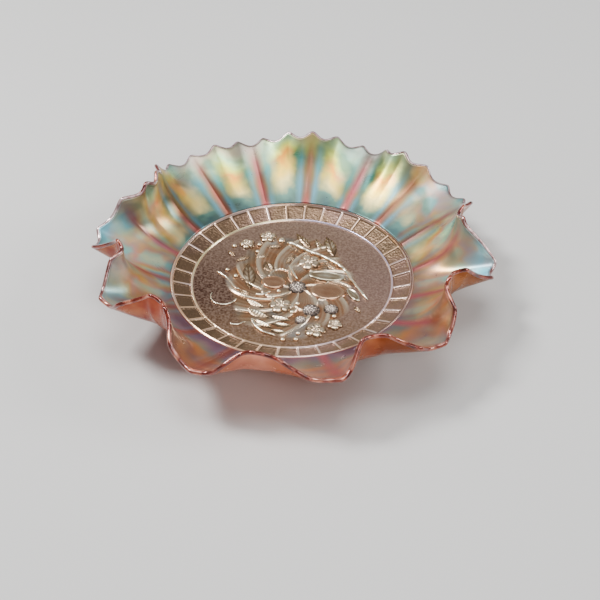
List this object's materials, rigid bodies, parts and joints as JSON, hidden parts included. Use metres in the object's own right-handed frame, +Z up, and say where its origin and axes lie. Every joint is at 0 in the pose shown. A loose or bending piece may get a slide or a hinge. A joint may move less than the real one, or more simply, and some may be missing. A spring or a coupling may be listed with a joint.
{
  "type": "ruffled glass bowl",
  "caption": "Low ruffled bowl of iridescent pressed glass, with a fluted wall, a toothed rim, a ring of blocks and a raised floral floor, on a collar foot.",
  "frame": {"origin": "middle of the bowl's footprint, on the plane that the foot stands on", "axes": "+Z up along the bowl's axis; -Y is the front; the pattern and the uneven ruffles are fixed to the other two"},
  "size_m": [0.2251, 0.2221, 0.0501],
  "materials": {
    "foot_glass": "clear orange-amber pressed glass, ground flat where it stands",
    "floor_glass": "fine stippled pressed glass under a bronze-pink iridescent film",
    "ring_glass": "stippled pockets between smooth bars, under a pink-bronze iridescent film",
    "wall_glass": "satin iridescent film of gold, mint, blue and rose over clear orange glass",
    "rim_glass": "fire-polished edge, ruby-copper and wet-looking",
    "relief_glass": "smooth raised pattern with gold and silver iridescence"
  },
  "bodies": {
    "root": {"berry_1": "relief_glass", "berry_2": "relief_glass", "berry_3": "relief_glass", "berry_4": "relief_glass", "block_ring": "ring_glass", "blossom_1": "relief_glass", "blossom_2": "relief_glass", "blossom_3": "relief_glass", "blossom_4": "relief_glass", "blossom_5": "relief_glass", "blossom_6": "relief_glass", "branch": "relief_glass", "bud_1": "relief_glass", "bud_10": "relief_glass", "bud_11": "relief_glass", "bud_12": "relief_glass", "bud_13": "relief_glass", "bud_14": "relief_glass", "bud_2": "relief_glass", "bud_3": "relief_glass", "bud_4": "relief_glass", "bud_5": "relief_glass", "bud_6": "relief_glass", "bud_7": "relief_glass", "bud_8": "relief_glass", "bud_9": "relief_glass", "collar_foot": "foot_glass", "fluted_wall": "wall_glass", "hook": "relief_glass", "leaf_1": "relief_glass", "leaf_10": "relief_glass", "leaf_11": "relief_glass", "leaf_12": "relief_glass", "leaf_13": "relief_glass", "leaf_14": "relief_glass", "leaf_15": "relief_glass", "leaf_16": "relief_glass", "leaf_17": "relief_glass", "leaf_18": "relief_glass", "leaf_19": "relief_glass", "leaf_2": "relief_glass", "leaf_3": "relief_glass", "leaf_4": "relief_glass", "leaf_5": "relief_glass", "leaf_6": "relief_glass", "leaf_7": "relief_glass", "leaf_8": "relief_glass", "leaf_9": "relief_glass", "medallion_floor": "floor_glass", "petal_1": "relief_glass", "petal_2": "relief_glass", "petal_3": "relief_glass", "petal_4": "relief_glass", "rim_bead": "rim_glass", "shoot": "relief_glass", "stalk": "relief_glass", "tendril": "relief_glass", "tendril_curl": "relief_glass", "twig": "relief_glass"}
  },
  "joints": []
}
